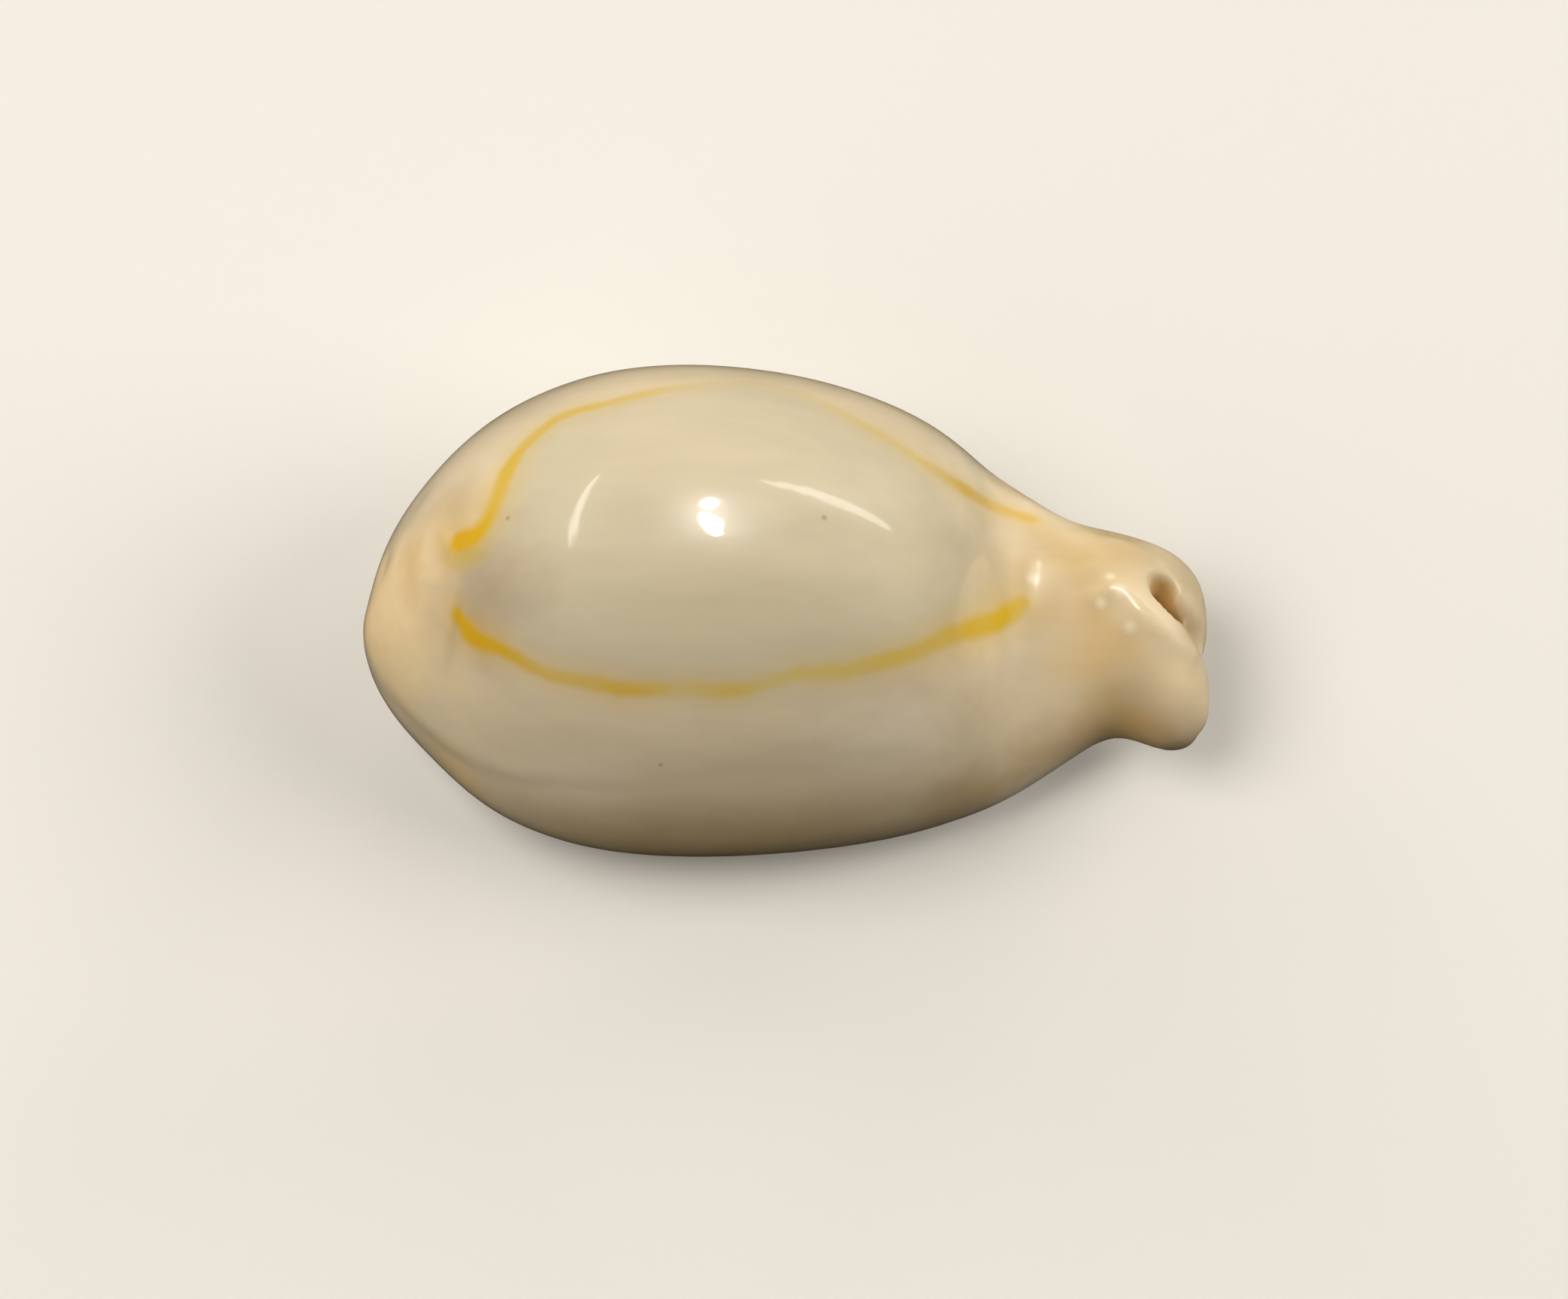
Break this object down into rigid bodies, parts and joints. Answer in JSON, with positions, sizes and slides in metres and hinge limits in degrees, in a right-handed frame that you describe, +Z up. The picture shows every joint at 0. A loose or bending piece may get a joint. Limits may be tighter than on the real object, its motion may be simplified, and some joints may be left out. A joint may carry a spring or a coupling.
{
  "type": "cowrie shell",
  "caption": "Glossy ringed cowrie shell with a drawn-out front end, hollow, with a toothed slit along its flat base.",
  "frame": {"origin": "middle of the shell's box, on the surface that its flat base rests on", "axes": "+X along the shell towards its drawn-out front end, +Z up from the base, outer lip on the -Y side"},
  "size_m": [0.028, 0.0162, 0.0125],
  "materials": {
    "shell_enamel": "polished natural shell enamel, creamy white with a golden ring line"
  },
  "bodies": {
    "root": {"cowrie_shell": "shell_enamel"}
  },
  "joints": []
}
